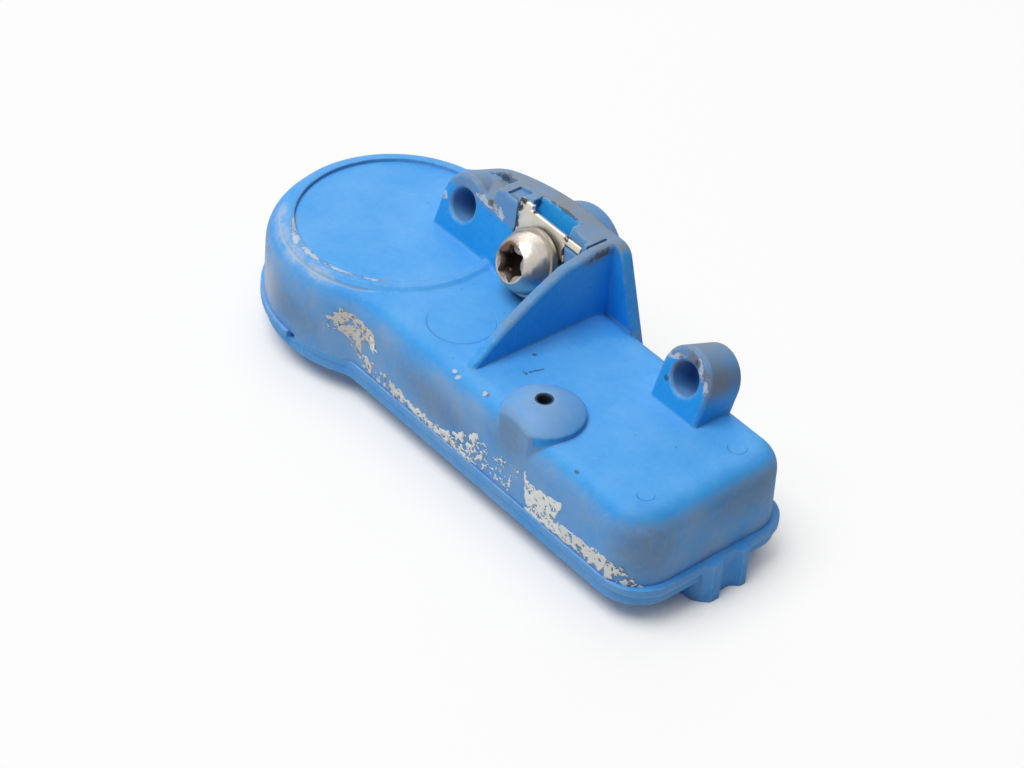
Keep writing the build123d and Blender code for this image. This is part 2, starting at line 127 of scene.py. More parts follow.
def spotMask(tree, coords, ragged, spot, fade):
    # blob with a ragged edge: 1 inside its three radii, 0 outside, over the two levels of the fade
    centre, radii, turn = spot
    ballSize = 1.6    # the fade lies inside the ball, so the ball is larger than the blob
    local = addNode(tree, "Mapping", {
        "Vector": coords,
        "Location": metres(centre),
        "Rotation": [np.radians(a) for a in turn],
        "Scale": [r * mm * ballSize for r in radii],
    }, vector_type="TEXTURE")
    ball = addNode(tree, "TexGradient", {"Vector": local}, "Fac", gradient_type="SPHERICAL")
    torn = addNode(tree, "Math", (ball, ragged), operation="MULTIPLY")
    return addNode(tree, "MapRange", (torn, *fade), **smooth)


def spotGroup(tree, coords, ragged, spots, fade):
    # the largest of several blobs
    total, *others = [spotMask(tree, coords, ragged, spot, fade) for spot in spots]
    for mask in others:
        total = addNode(tree, "Math", (total, mask), operation="MAXIMUM")
    return total


def gridFaces(rows, cols, closed):
    # quads between neighbouring rows; closed joins the last column to the first
    across = np.arange(cols if closed else cols - 1)
    a = (np.arange(rows - 1)[:, None] * cols + across).ravel()
    b = (np.arange(rows - 1)[:, None] * cols + (across + 1) % cols).ravel()
    return np.stack([a, b, b + cols, a + cols], 1)


def latticeNoise(u, v, size, seed):
    # random lattice values with smooth blending between its corners, 0 to 1; the lattice repeats
    count = 64
    table = np.random.default_rng(seed).random((count, count))
    x, y = np.asarray(u) / size, np.asarray(v) / size
    i, j = np.floor(x).astype(int), np.floor(y).astype(int)
    fx, fy = x - i, y - j
    fx, fy = fx * fx * (3 - 2 * fx), fy * fy * (3 - 2 * fy)
    left, right = i % count, (i + 1) % count
    near, far = j % count, (j + 1) % count
    low = table[left, near] * (1 - fx) + table[right, near] * fx
    high = table[left, far] * (1 - fx) + table[right, far] * fx
    return low * (1 - fy) + high * fy


def newObject(name, data):
    # object at the origin, in the scene
    made = bpy.data.objects.new(name, data)
    bpy.context.scene.collection.objects.link(made)
    return made


def placePiece(name, points, faces, material, sharpAngle):
    # mesh from whole arrays, smooth but for edges sharper than the angle
    mesh = bpy.data.meshes.new(name)
    mesh.from_pydata(points.tolist(), [], faces.tolist())
    mesh.polygons.foreach_set("use_smooth", np.ones(len(mesh.polygons), bool))
    mesh.set_sharp_from_angle(angle=np.radians(sharpAngle))
    mesh.materials.append(material)
    piece = newObject(name, mesh)
    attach(piece, bodyName)
    return piece


def dressNode(node, material):
    # the CAD node keeps its shape and takes the material
    cadNodes[node].data.materials.clear()
    cadNodes[node].data.materials.append(material)


# camera, at the angle of the photograph

cameraView = {
    "place": (186.02, -166.61, 204.54),                   # mm
    "azimuth": 48.10, "elevation": 38.78, "roll": 4.65,   # degrees
    "lens": 112.5, "sensor": 36.0,                        # mm
    "clipStart": 0.01,                                    # m
}


def setCamera(view):
    # axes from the two angles, then turned about the line of sight by the roll
    azimuth, elevation, roll = (np.radians(view[k]) for k in ("azimuth", "elevation", "roll"))
    back = Vector((
        np.sin(azimuth) * np.cos(elevation), -np.cos(azimuth) * np.cos(elevation), np.sin(elevation),
    ))
    level = Vector((np.cos(azimuth), np.sin(azimuth), 0))
    upright = back.cross(level)
    right = np.cos(roll) * level + np.sin(roll) * upright
    data = bpy.data.cameras.new("camera")
    data.lens = view["lens"]
    data.sensor_width = view["sensor"]
    data.clip_start = view["clipStart"]
    camera = newObject("camera", data)
    turn = Matrix((right, back.cross(right), back)).transposed().to_4x4()
    camera.matrix_world = Matrix.Translation(Vector(view["place"]) * mm) @ turn
    bpy.context.scene.camera = camera


setCamera(cameraView)
print("camera set")


# blue housing

housingLook = {
    # the haze colour is part dust and part painted sheen on the faces that look up
    "clean": "#0a97ea", "cleanPale": "#24a2ef", "hazeAndSheen": "#cfe0f0",
    # the grime colour is dirt in specks and marks, and painted shade in deep hollows and the port's mouth
    "film": "#aeaaa6", "upperFilm": "#8a8680", "grimeAndShade": "#1b222c",
    # the fillet colour is a painted highlight in inner corners
    "wornAndHighlight": "#a9d2f7", "filletHighlight": "#58b2f6", "chalk": "#d6dde2",
    "rust": "#80674f", "stain": "#57585e", "powder": "#d2d2d6",
    "roughness": (0.56, 0.78),      # clean, dusty

    # patterns: feature size mm, detail, roughness
    "noises": {
        "blotch": (5.0, 6.0, 0.62),     # uneven dust
        "fine": (0.7, 5.0, 0.70),       # broken wear
        "crumb": (0.60, 7.0, 0.78),     # torn edges of the marks
        "grain": (0.18, 3.0, 0.50),     # grain of the tool, coarser than real so that it shows
    },
    "scratch": (6.0, 0.14, 35.0, 2.0),   # mm long, mm wide, degrees, detail
    "speck": 0.9,                   # mm between dark specks

    # places, mm
    "topZ": 12.55,                  # level of the body top
    "lowDust": (-0.1, -0.9),        # from the body top: dust on the walls begins, is full
    "highDust": (1.4, 3.6),         # the same for the bracket and the lugs
    "lip": (-10.9, 5.6),            # the dusty front lip lies in front of and below these
    "port": (13.55, -7.6), "portRim": (4.4, 4.2), "portMouth": (0.96, 0.90),   # centre, two fading radii
    "faceTilt": 20.0,               # degrees, lean of the eye faces
    "cleanBelow": (16.9, 17.5),     # the eye faces are clean up to here, and dusty from there
    "slot": (-6.3, 6.5),            # right of and behind these the slot over the clip is clean
    "eyes": ((-13.90, 4.15, 15.98), (20.05, 4.15, 15.98)), "eyeRim": (1.81, 1.76),   # mouths, fading radii
    "pastRib": (10.45, 12.45),      # the rib's outer face is clean, and what lies right of these isn't
    "step": (-18.949, 0.0, 0.0), "stepRadius": 12.0, "stepFade": (0.26, 0.052),   # foot of the round step
    "stepTop": (-0.01, -0.05), "stepFoot": -0.7,   # from the body top: where the foot stands out
    "rounding": 0.55,               # how soft the moulded edges look
    "hollow": 0.8,                  # how near something stands in a hollow
    # marks of mould pins: centre, radius, width
    "rings": (((-2.15, -5.0), 3.45, 0.12), ((27.7, 4.6), 0.95, 0.10), ((27.9, -7.0), 0.85, 0.12)),
    "edgeSamples": 4, "hollowSamples": 3,   # rays for the rounding and the hollows

    # shares of a layer where it is full
    "filmAmount": 0.34, "upperAmount": 0.62, "portShare": 0.26, "mouthShare": 0.95,
    "faceShare": 0.75, "eyeShare": 0.62, "stepShare": 0.6, "filletHighlightShare": 0.55,
    "mottleMix": 0.55,              # of fine in slow unevenness
    "wornAmount": (0.20, 0.66),     # even share and broken share on edges

    # ramps: from, to, and then what these become where that isn't 0 and 1
    "mottle": (0.38, 0.62),
    "streak": (0.66, 0.76, 0.0, 0.22),
    "skyward": (0.70, 0.98, 0.0, 0.20),
    "uneven": (0.30, 0.68, 0.40, 1.50),
    "upright": (0.93, 0.35),
    "crown": (0.3, 0.7),
    "sideness": (0.92, 0.70),
    "notRibFace": (0.85, 0.55),
    "standsClear": (0.60, 0.90),
    "inCorner": (1.0, 0.2),
    "edge": (0.99, 0.86),
    "broken": (0.42, 0.64),
    "hollowShade": (0.20, 0.0, 0.0, 0.4),
    "chosen": (0.88, 0.97),
    "dot": (0.15, 0.05, 0.0, 0.45),

    # heights of the surface in mm, and the strength of them all
    "grainHeight": 0.012, "fineHeight": 0.040, "ringDepth": -0.10, "chalkDepth": -0.06, "bump": 0.9,
    "ringFront": (0.6, -0.8, 0.0),      # way to the side where the rings show
    "ringShown": (-0.4, 0.5, 0.15),     # radii along it where they fade in, share at the back

    # edges of marks: pattern, its ramp, levels of the fade
    "tears": {"torn": ("crumb", (0.34, 0.66, 0.10, 1.60), (0.30, 0.52)),
              "soft": ("fine", (0.3, 0.7, 0.55, 1.35), (0.02, 0.85))},
    # marks, the lowest first: colour, share, edge, and places by centre mm, radii mm, turn degrees
    "marks": (
        ("powder", 0.55, "soft", (
            ((-24.6, -12.0, 7.4), (3.6, 3.0, 3.0), (0, 0, 0)),
            ((-26.9, -9.4, 13.05), (2.4, 0.9, 1.2), (0, 0, -40)),
            ((-24.2, -11.1, 13.05), (2.4, 0.9, 1.2), (0, 0, -25)),
            ((-20.6, -12.2, 13.05), (2.4, 0.9, 1.2), (0, 0, -8)),
            ((-16.8, -12.1, 13.05), (2.4, 0.9, 1.2), (0, 0, 10)),
        )),
        ("stain", 0.36, "soft", (
            ((12.6, -11.2, 11.4), (3.0, 1.1, 3.0), (0, 0, 0)),
            ((30.6, -9.2, 8.8), (3.2, 3.2, 3.4), (0, 0, 0)),
            ((31.2, 3.4, 10.0), (1.2, 6.0, 2.4), (0, 0, 0)),
            ((2.2, -11.2, 7.6), (6.4, 0.9, 2.2), (0, 8, 0)),
            ((-19.0, -13.4, 7.0), (4.6, 1.4, 2.2), (0, 4, 0)),
            ((23.0, 6.9, 16.9), (1.2, 3.6, 1.3), (-20, 0, 0)),
            ((22.9, 6.7, 16.9), (0.6, 2.4, 0.6), (-20, 0, 0)),
            ((4.6, 6.6, 20.0), (0.8, 2.4, 0.9), (8, 0, 0)),
        )),
        ("rust", 0.60, "torn", (
            ((20.2, 4.9, 18.1), (1.2, 0.6, 0.55), (0, 22, 0)),
            ((22.2, 4.65, 17.2), (0.55, 0.6, 1.1), (0, -24, 0)),
            ((-10.4, 4.9, 18.0), (1.3, 0.5, 0.45), (0, 8, 0)),
            ((4.45, 6.3, 19.95), (0.3, 2.0, 0.55), (8, 0, 0)),
        )),
        ("chalk", 0.70, "torn", (
            ((3.1, -9.95, 12.15), (0.45, 0.25, 0.3), (0, 0, 20)),
            ((3.9, -10.15, 12.0), (0.6, 0.22, 0.3), (0, 0, 40)),
            ((7.6, -9.8, 12.25), (0.55, 0.3, 0.3), (0, 0, 0)),
            ((-24.6, -8.8, 12.9), (1.6, 0.5, 0.4), (0, 0, -46)),
            ((-22.4, -10.4, 12.9), (1.8, 0.45, 0.4), (0, 0, -26)),
            ((-19.4, -10.9, 12.9), (2.0, 0.40, 0.4), (0, 0, -4)),
            ((-15.6, -10.2, 12.8), (2.2, 0.40, 0.4), (0, 0, 19)),
            ((-12.6, -8.5, 12.8), (1.8, 0.35, 0.4), (0, 0, 36)),
            ((18.0, 4.7, 17.3), (1.5, 0.5, 0.35), (0, -24, 0)),
            ((21.5, 4.75, 17.6), (0.40, 0.6, 1.3), (0, -35, 0)),
            ((22.8, 4.4, 16.4), (0.35, 0.6, 1.2), (0, -8, 0)),
            ((-16.7, 4.05, 15.7), (0.6, 0.5, 0.5), (0, 0, 0)),
            ((-11.4, 4.85, 17.8), (1.5, 0.5, 0.40), (0, 4, 0)),
            ((-9.0, 4.8, 17.75), (1.3, 0.5, 0.50), (0, 24, 0)),
        )),
        ("grimeAndShade", 0.68, "torn", (
            ((5.9, -2.4, 12.55), (0.30, 0.28, 0.3), (0, 0, 0)),
            ((7.6, -4.9, 12.55), (0.35, 0.2, 0.3), (0, 0, 0)),
            ((7.9, -3.8, 12.55), (0.16, 0.9, 0.3), (0, 0, -15)),
            ((7.9, -9.8, 12.25), (0.22, 0.2, 0.3), (0, 0, 0)),
            ((21.3, -9.9, 12.1), (0.35, 0.22, 0.4), (0, 0, 0)),
            ((4.45, 6.6, 20.0), (0.4, 1.8, 0.40), (8, 0, 0)),
            ((-12.6, 8.25, 18.8), (1.3, 0.6, 0.9), (0, 0, 0)),
            ((-10.5, 4.9, 18.0), (0.45, 0.4, 0.36), (0, 0, 0)),
            ((20.8, 4.85, 17.85), (0.5, 0.4, 0.5), (0, 0, 0)),
            ((18.1, 3.8, 14.95), (0.4, 0.3, 0.3), (0, 0, 0)),
            ((-2.5, 7.62, 20.70), (3.3, 0.25, 0.16), (0, 0, 0)),
            ((-5.7, 7.2, 20.1), (0.3, 0.6, 0.7), (0, 0, 0)),
        )),
    ),
}


def plasticMaterial(name, look):
    # Glass-filled polyester, moulded in colour, satin. The pigment is strong and even, the tool grain
    # breaks the gloss up, grey dust sits on the walls, edges are rubbed pale and dark specks of dirt are
    # strewn about.
    # Painted shade darkens the holes, and painted light lies on top as sheen and as highlights in the inner
    # fillets and on the step's foot.
    material, tree, shader, coords = startMaterial(name)
    topZ = look["topZ"]
    normals = addNode(tree, "NewGeometry", give=None).outputs
    rounded = addNode(tree, "Bevel", {"Radius": look["rounding"] * mm}, samples=look["edgeSamples"])
    x, y, z = addNode(tree, "SeparateXYZ", (coords,), None).outputs
    facing = addNode(tree, "SeparateXYZ", (rounded,), None).outputs
    noise = {}
    for key, (size, detail, rough) in look["noises"].items():
        noise[key] = addNode(tree, "TexNoise", {
            "Vector": coords, "Scale": perMetre(size), "Detail": detail, "Roughness": rough,
        }, "Fac")

    # pigment: slow and fine unevenness, fine scratches that lie one way, and on top a pale haze, part dust,
    # part painted sheen
    mottle = addNode(tree, "Mix", {0: look["mottleMix"], 2: noise["blotch"], 3: noise["fine"]})
    mottle = addNode(tree, "MapRange", (mottle, *look["mottle"]))
    long, wide, slant, detail = look["scratch"]
    combed = addNode(tree, "Mapping", {
        "Vector": coords, "Rotation": (0, 0, np.radians(slant)), "Scale": metres((long, wide, long)),
    }, vector_type="TEXTURE")
    streak = addNode(tree, "TexNoise", {"Vector": combed, "Scale": 1.0, "Detail": detail}, "Fac")
    streak = addNode(tree, "MapRange", (streak, *look["streak"]))
    skyward = addNode(tree, "MapRange", (facing[2], *look["skyward"]))
    hazeAndSheen = addNode(tree, "Math", (skyward, noise["blotch"]), operation="MULTIPLY")
    colour = layOver(tree, linearColour(look["clean"]), (
        (mottle, look["cleanPale"]), (streak, look["wornAndHighlight"]), (hazeAndSheen, look["hazeAndSheen"]),
    ))

    # low dust: on upright walls below the top, on the front up to the port's flat, on the front lip and on
    # the port's crown
    upright = addNode(tree, "MapRange", (facing[2], *look["upright"]), **smooth)
    below = addNode(tree, "MapRange", (z, *metres(np.add(topZ, look["lowDust"]))), **smooth)
    lipY, lipZ = metres(look["lip"])
    before = addNode(tree, "Math", (y, lipY), operation="LESS_THAN")
    under = addNode(tree, "Math", (z, lipZ), operation="LESS_THAN")
    onLip = addNode(tree, "Math", (before, under), operation="MULTIPLY")
    below = addNode(tree, "Math", (below, before), operation="MAXIMUM")
    lower = addNode(tree, "Math", (upright, below), operation="MULTIPLY")
    lower = addNode(tree, "Math", (lower, onLip), operation="MAXIMUM")
    fromPort = fromAxis(tree, coords, (*look["port"], topZ))
    onPort = addNode(tree, "MapRange", (fromPort, *metres(look["portRim"]), 0, look["portShare"]))
    crown = addNode(tree, "MapRange", (facing[2], *look["crown"]))
    onPort = addNode(tree, "Math", (onPort, crown), operation="MULTIPLY")
    lowShare = addNode(tree, "Math", (lower, look["filmAmount"]), operation="MULTIPLY")
    lowShare = addNode(tree, "Math", (lowShare, onPort), operation="MAXIMUM")

    # high dust: on the bracket and lugs and in the eyes, less on the faces that look forward, none in the
    # slot and on the rib's outer face
    above = addNode(tree, "MapRange", (z, *metres(np.add(topZ, look["highDust"]))), **smooth)
    lean = np.radians(look["faceTilt"])
    eyeLine = (0, -np.cos(lean), np.sin(lean))
    frontness = addNode(tree, "VectorMath", (normals["Normal"], eyeLine), "Value", operation="DOT_PRODUCT")
    sideness = addNode(tree, "MapRange", (frontness, *look["sideness"]), **smooth)
    highFace = addNode(tree, "MapRange", (z, *metres(look["cleanBelow"]), 0, look["faceShare"]), **smooth)
    slotX, slotY = metres(look["slot"])
    leftOf = addNode(tree, "Math", (x, slotX), operation="LESS_THAN")
    outOfSlot = addNode(tree, "Math", (y, slotY), operation="LESS_THAN")
    outOfSlot = addNode(tree, "Math", (leftOf, outOfSlot), operation="MAXIMUM")
    highFace = addNode(tree, "Math", (highFace, outOfSlot), operation="MULTIPLY")
    sideness = addNode(tree, "Math", (sideness, highFace), operation="MAXIMUM")
    pastRib = addNode(tree, "MapRange", (x, *metres(look["pastRib"])))
    notRibFace = addNode(tree, "MapRange", (facing[0], *look["notRibFace"]), **smooth)
    openSide = addNode(tree, "Math", (pastRib, notRibFace), operation="MAXIMUM")
    upper = above
    for limit in (sideness, openSide):
        upper = addNode(tree, "Math", (upper, limit), operation="MULTIPLY")
    for eye in look["eyes"]:
        off = addNode(tree, "VectorMath", (coords, metres(eye)), operation="SUBTRACT")
        off = addNode(tree, "VectorMath", (off, eyeLine), operation="CROSS_PRODUCT")
        off = addNode(tree, "VectorMath", (off,), "Value", operation="LENGTH")
        inside = addNode(tree, "MapRange", (off, *metres(look["eyeRim"]), 0, look["eyeShare"]))
        upper = addNode(tree, "Math", (upper, inside), operation="MAXIMUM")
    highShare = addNode(tree, "Math", (upper, look["upperAmount"]), operation="MULTIPLY")
    uneven = addNode(tree, "MapRange", (noise["blotch"], *look["uneven"]))
    for share, shade in ((lowShare, "film"), (highShare, "upperFilm")):
        share = addNode(tree, "Math", (share, uneven), operation="MULTIPLY", use_clamp=True)
        colour = layOver(tree, colour, [(share, look[shade])])

    # rubbed edges: where the rounded normal leaves the true one, and nothing stands close by
    hollow = addNode(tree, "AmbientOcclusion", {"Distance": look["hollow"] * mm}, "AO",
                     samples=look["hollowSamples"], only_local=True)
    standsClear = addNode(tree, "MapRange", (hollow, *look["standsClear"]))
    bend = addNode(tree, "VectorMath", (rounded, normals["True Normal"]), "Value", operation="DOT_PRODUCT")
    edge = addNode(tree, "MapRange", (bend, *look["edge"]), **smooth)
    broken = addNode(tree, "MapRange", (noise["fine"], *look["broken"], *look["wornAmount"]))
    # rubbed wear on edges; the round step's foot, joined in below, is painted light in the same pale colour
    rubbedAndStepLight = edge
    for limit in (broken, standsClear):
        rubbedAndStepLight = addNode(tree, "Math", (rubbedAndStepLight, limit), operation="MULTIPLY")

    # inner corners: the same bend where something does stand close by, a painted highlight where a moulded
    # fillet would catch the light
    filletHighlight = addNode(tree, "MapRange", (standsClear, *look["inCorner"], 0, look["filletHighlightShare"]))
    filletHighlight = addNode(tree, "Math", (filletHighlight, edge), operation="MULTIPLY")

    # the foot of the round step is painted pale too, where it stands out of the rounded wall: painted light
    # over the shade at that foot
    fromStep = offCircle(tree, fromAxis(tree, coords, look["step"]), look["stepRadius"])
    stepFootLight = addNode(tree, "MapRange", (fromStep, *metres(look["stepFade"]), 0, look["stepShare"]), **smooth)
    sunk = addNode(tree, "MapRange", (z, *metres(np.add(topZ, look["stepTop"]))))
    standing = addNode(tree, "Math", (z, (topZ + look["stepFoot"]) * mm), operation="GREATER_THAN")
    for limit in (sunk, standing):
        stepFootLight = addNode(tree, "Math", (stepFootLight, limit), operation="MULTIPLY")
    rubbedAndStepLight = addNode(tree, "Math", (rubbedAndStepLight, stepFootLight), operation="MAXIMUM")

    # painted shade: deep hollows and the port's mouth darkened in colour; and dirt in specks, the few cells
    # of a cell pattern whose random value is high
    hollowShade = addNode(tree, "MapRange", (hollow, *look["hollowShade"]), **smooth)
    portMouthShade = addNode(tree, "MapRange", (fromPort, *metres(look["portMouth"]), 0, look["mouthShare"]))
    cells = addNode(tree, "TexVoronoi", {"Vector": coords, "Scale": perMetre(look["speck"])}, None).outputs
    lot = addNode(tree, "SeparateColor", (cells["Color"],))
    chosen = addNode(tree, "MapRange", (lot, *look["chosen"]))
    dot = addNode(tree, "MapRange", (cells["Distance"], *look["dot"]))
    speck = addNode(tree, "Math", (chosen, dot), operation="MULTIPLY")

    # marks with torn or soft edges over all of these
    # painted light and shade among these layers: the fillet highlight, the pale step foot, and the dark
    # hollows and port mouth
    layers = [(filletHighlight, "filletHighlight"), (hollowShade, "grimeAndShade"), (rubbedAndStepLight, "wornAndHighlight"), (speck, "grimeAndShade"), (portMouthShade, "grimeAndShade")]
    for shade, amount, edgeKind, places in look["marks"]:
        pattern, ramp, fade = look["tears"][edgeKind]
        tear = addNode(tree, "MapRange", (noise[pattern], *ramp))
        mask = spotGroup(tree, coords, tear, places, fade)
        mask = addNode(tree, "Math", (mask, amount), operation="MULTIPLY")
        layers.append((mask, shade))
    colour = layOver(tree, colour, [(share, look[shade]) for share, shade in layers])

    # gloss: satin where clean, dull under dust
    dusty = addNode(tree, "Math", (lower, upper), operation="MAXIMUM")
    gloss = addNode(tree, "MapRange", (dusty, 0, 1, *look["roughness"]))

    # surface: tool grain, slow unevenness, chipped marks and the ring marks of the mould pins, which show
    # on the side towards the front
    height = addNode(tree, "Math", (noise["grain"], look["grainHeight"]), operation="MULTIPLY")
    height = addNode(tree, "Math", (noise["fine"], look["fineHeight"], height), operation="MULTIPLY_ADD")
    back, front, least = look["ringShown"]
    for centre, radius, width in look["rings"]:
        out = addNode(tree, "VectorMath", (coords, metres((*centre, topZ))), operation="SUBTRACT")
        away = addNode(tree, "VectorMath", (out,), "Value", operation="LENGTH")
        off = offCircle(tree, away, radius)
        groove = addNode(tree, "MapRange", (off, width * mm, 0, 0, look["ringDepth"]), **smooth)
        forward = addNode(tree, "VectorMath", (out, look["ringFront"]), "Value", operation="DOT_PRODUCT")
        shown = addNode(tree, "MapRange", (forward, *metres((back * radius, front * radius)), least))
        height = addNode(tree, "Math", (groove, shown, height), operation="MULTIPLY_ADD")
    for share, shade in layers:
        if shade == "chalk":
            height = addNode(tree, "Math", (share, look["chalkDepth"], height), operation="MULTIPLY_ADD")
    bump = addNode(tree, "Bump", {
        "Height": height, "Distance": mm, "Strength": look["bump"], "Normal": rounded,
    })
    feed(tree, shader, {"Base Color": colour, "Roughness": gloss, "Normal": bump})
    return material


coverLook = {
    **housingLook,
    "filmAmount": 0.24, "wornAmount": (0.30, 0.80), "rounding": 0.28, "rings": (), "marks": (),
}
dressNode("housing", plasticMaterial("moulded_polyester_satin", housingLook))
dressNode("base_cover", plasticMaterial("moulded_polyester_cover", coverLook))
print("housing and cover finished")


# screw: one surface from the tip over thread, neck, collar and head into the six-lobe recess

screw = {
    # mm
    "end": 9.0, "tip": 0.3, "tipFlat": 0.7, "radius": 1.95, "threadDepth": 0.38, "pitch": 0.7,
    "flank": (1.4, 0.2), "tipCut": 0.3,      # slope and flats of the thread, share of it left at the tip
    "neck": (2.9, 0.4), "collar": (3.55, 0.9), "collarEdge": 0.14,    # radius and height, then the rounding
    "washer": (3.40, 0.09, 0.25), "washerEdge": (0.05, 0.04),   # radius and the heights of its two faces
    "head": (3.22, 2.0, 3.6), "shoulder": (3.12, 2.75),         # radii and height, then the crown's bend
    "lobe": 1.55, "lobeWaves": ((6, 0.25), (12, 0.06)),         # times round, height
    "recess": 1.9, "recessEdge": 0.12,
    "recessFloor": ((1.0, 0.2), (0.9, 0.0), (0.45, -0.1), (0.0, -0.15)),   # share of the lobe, height
    "seam": 0.02,                            # between rings that would else lie on each other
    "dents": (3, 4, 9, 0.05, 5), "dentsFrom": 0.5,   # per mm, per radian, shift, depth, seed; off the lobe
    "roundMiddle": 0.3,                      # share of a rounding at the middle of its bend
    "columns": 144, "rowsPerTurn": 10, "crownRows": 24,
    "turn": 10.0, "sharp": 32,               # degrees, how the recess lies and which edges stay sharp
    "nickel": "#d6d0c8", "nickelDull": "#aba399", "collarTone": "#7f786d",
    # the near-black colour is painted shade for the recess and the gap behind the collar
    "rust": "#6b4a33", "shadeBlack": "#20160e",
    "wear": (0.9, 6.0, 0.68),                # mm, detail, roughness
    # bands, mm: along the axis from the clip, or out from the axis
    "collarBand": (1.35, 1.25), "depthBand": (3.50, 2.55), "headBand": (0.8, 1.2),
    "gapBand": (0.62, 0.30), "gapEnd": -0.1,
    "recessBand": (1.94, 1.65), "rimBand": (2.75, 1.7), "upBand": (1.4, 4.2), "upLean": -0.7,
    "collarShare": 0.7, "gapShare": 0.9, "rusty": (0.68, 1.05, 0.0, 0.9),
    "metal": (1.0, 0.25), "gloss": (0.3, 0.7, 0.24, 0.42),      # bare and covered, ramp of the wear
    "bump": (0.03, 0.8),                     # mm, strength
}


def valveAxis(s):
    # head direction from the record, and the clip face's place along it from the screw's own box
    head = -Vector(mounts["screw_end"]["axis"]).normalized()
    vertices = cadNodes["retaining_screw"].data.vertices
    points = np.empty(3 * len(vertices), np.float32)
    vertices.foreach_get("co", points)
    points = points.reshape(-1, 3)
    start = Vector(mounts["screw_end"]["pos_m"])
    along = (points - np.array(start)) @ np.array(head)
    return start + head * (float(along.max()) - s["head"][2] * mm), head


def screwSurface(s):
    # radius and height of each ring, then swept round the axis; the thread adds a wave that climbs one
    # pitch per turn, the crown bends from base to face about a shoulder point, and the recess rings
    # swell and shrink six times round
    angle = np.linspace(0, 2 * np.pi, s["columns"], endpoint=False)
    neckR, neckH = s["neck"]
    collarR, collarH = s["collar"]
    baseR, faceR, topH = s["head"]
    collarTop = neckH + collarH
    washerR, washerLow, washerHigh = s["washer"]
    washerIn, washerUp = s["washerEdge"]
    threadRows = int((s["end"] - s["tip"]) / s["pitch"] * s["rowsPerTurn"])
    threadH = np.linspace(-s["end"] + s["tip"], -s["seam"], threadRows)
    phase = (threadH[:, None] / s["pitch"] - angle / (2 * np.pi)) % 1
    wave = 1 - np.abs(2 * phase - 1)
    fade = np.clip((-threadH[:, None]) / s["pitch"], 0, 1) * np.clip(
        (threadH[:, None] + s["end"] - s["tip"]) / s["pitch"] + s["tipCut"], 0, 1)
    slope, flat = s["flank"]
    threadR = s["radius"] - s["threadDepth"] * (1 - np.clip(slope * wave - flat, 0, 1)) * fade
    step = np.linspace(0, 1, s["crownRows"])
    shoulderR, shoulderH = s["shoulder"]
    crownR = baseR * (1 - step) ** 2 + 2 * shoulderR * step * (1 - step) + faceR * step ** 2
    crownH = collarTop * (1 - step) ** 2 + 2 * shoulderH * step * (1 - step) + topH * step ** 2
    turned = angle + np.radians(s["turn"])
    lobe = s["lobe"]
    for times, wide in s["lobeWaves"]:
        lobe = lobe + wide * np.cos(times * turned)
    one = np.ones_like(angle)
    edge = s["collarEdge"]
    nearEdge = s["roundMiddle"] * edge
    tip = [(0.0, -s["end"]), (s["tipFlat"], -s["end"]), (s["radius"] - s["tip"], -s["end"])]
    middle = [
        (neckR, 0.0), (neckR, washerLow), (washerR - washerIn, washerLow), (washerR, washerLow + washerUp),
        (washerR, washerHigh - washerUp), (washerR - washerIn, washerHigh), (neckR, washerHigh),
        (neckR, neckH), (collarR - edge, neckH),
        (collarR - nearEdge, neckH + nearEdge), (collarR, neckH + edge), (collarR, collarTop - edge),
        (collarR - nearEdge, collarTop - nearEdge), (collarR - edge, collarTop - s["seam"]),
    ]
    cut = s["recessEdge"]
    nearCut = s["roundMiddle"] * cut
    inner = [(lobe + cut, topH), (lobe + nearCut, topH - nearCut), (lobe, topH - cut)]
    inner += [(share * lobe, topH - s["recess"] + rise) for share, rise in s["recessFloor"]]
    rings, levels = [], []
    for radii, heights in (zip(*tip), (threadR, threadH), zip(*middle), (crownR, crownH), zip(*inner)):
        rings.append(np.array([r * one for r in radii]))
        levels.append(np.array(heights))
    radius = np.concatenate(rings)
    height = np.concatenate(levels)[:, None] + 0 * radius
    perMm, perRadian, shift, depth, seed = s["dents"]
    dent = (latticeNoise(radius * perMm + angle * perRadian, height * perMm + shift, 1.0, seed) - 0.5) * depth
    dented = (height > collarTop) & (radius > s["lobe"] + s["dentsFrom"])
    return np.where(dented, radius + dent, radius), height, angle


def makeScrew(s, material):
    # the rings turned onto the valve axis, with poles merged and faces outwards
    radius, height, angle = screwSurface(s)
    origin, head = valveAxis(s)
    sideways = Vector((1, 0, 0))
    axes = np.array([sideways, head.cross(sideways), head])
    local = np.stack([radius * np.cos(angle), radius * np.sin(angle), height], -1).reshape(-1, 3) * mm
    points = local @ axes + np.array(origin)
    faces = gridFaces(*radius.shape, True)
    piece = placePiece("retaining_screw_threaded", points, faces, material, s["sharp"])
    merged = bmesh.new()
    merged.from_mesh(piece.data)
    bmesh.ops.remove_doubles(merged, verts=merged.verts, dist=mergeGap)
    bmesh.ops.recalc_face_normals(merged, faces=merged.faces)
    merged.to_mesh(piece.data)
    merged.free()
    piece.data.set_sharp_from_angle(angle=np.radians(s["sharp"]))
    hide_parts("retaining_screw")


